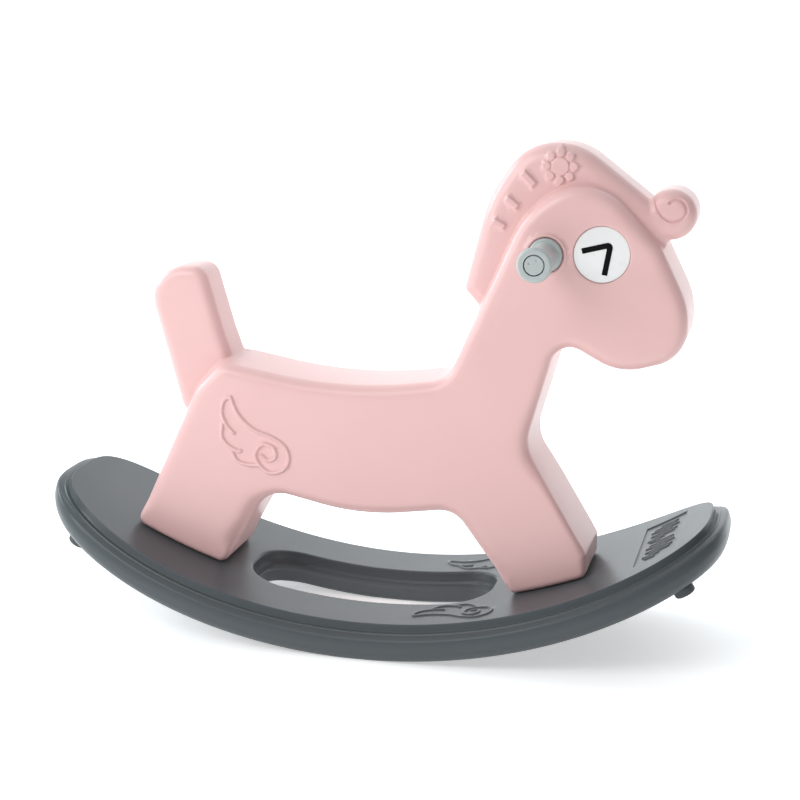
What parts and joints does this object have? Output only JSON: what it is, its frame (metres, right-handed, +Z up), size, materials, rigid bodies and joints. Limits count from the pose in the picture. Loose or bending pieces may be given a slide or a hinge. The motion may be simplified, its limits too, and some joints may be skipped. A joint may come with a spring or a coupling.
{
  "type": "rocking horse",
  "caption": "Toddler's rocking horse: hollow moulded horse with a turning handle bar, bolted on a curved rocker base with a through slot and rubber stoppers.",
  "frame": {"origin": "on the floor, in the middle of the object's box: under the lowest line of the rocker, on the plane of symmetry", "axes": "+X the way the horse faces, +Y its left side, +Z up"},
  "size_m": [0.7268, 0.2776, 0.5252],
  "materials": {
    "horse_plastic": "blow-moulded polyethylene, satin gloss, pale pink",
    "base_plastic": "blow-moulded polyethylene, satin, slate grey",
    "eye_plastic": "smooth, white",
    "grip_plastic": "smooth injection-moulded, light grey",
    "zinc_steel": "zinc-plated",
    "brass": "turned",
    "stopper_rubber": "matt black"
  },
  "bodies": {
    "horse": {"horse_shell": "horse_plastic", "rocker_base": "base_plastic", "eye_disc_right": "eye_plastic", "eye_disc_left": "eye_plastic", "foot_bolt_rear_right": "zinc_steel", "foot_bolt_rear_left": "zinc_steel", "foot_bolt_front_right": "zinc_steel", "foot_bolt_front_left": "zinc_steel", "foot_washer_rear_right": "zinc_steel", "foot_washer_rear_left": "zinc_steel", "foot_washer_front_right": "zinc_steel", "foot_washer_front_left": "zinc_steel", "stopper_screw_rear_right": "zinc_steel", "stopper_screw_rear_left": "zinc_steel", "stopper_screw_front_right": "zinc_steel", "stopper_screw_front_left": "zinc_steel", "foot_insert_rear_right": "brass", "foot_insert_rear_left": "brass", "foot_insert_front_right": "brass", "foot_insert_front_left": "brass", "stopper_rear_right": "stopper_rubber", "stopper_rear_left": "stopper_rubber", "stopper_front_right": "stopper_rubber", "stopper_front_left": "stopper_rubber"},
    "handle": {"handle_grip_right": "grip_plastic", "handle_grip_left": "grip_plastic", "handle_plug_right": "grip_plastic", "handle_plug_left": "grip_plastic", "handle_rod": "zinc_steel", "rod_nut_right": "zinc_steel", "rod_nut_left": "zinc_steel", "rod_washer_right": "zinc_steel", "rod_washer_left": "zinc_steel"}
  },
  "joints": [
    {"name": "handle_spin", "type": "hinge", "parent": "horse", "child": "handle", "pos_m": [0.1727, 0, 0.4166], "axis": [0, 1, 0], "continuous": true}
  ]
}
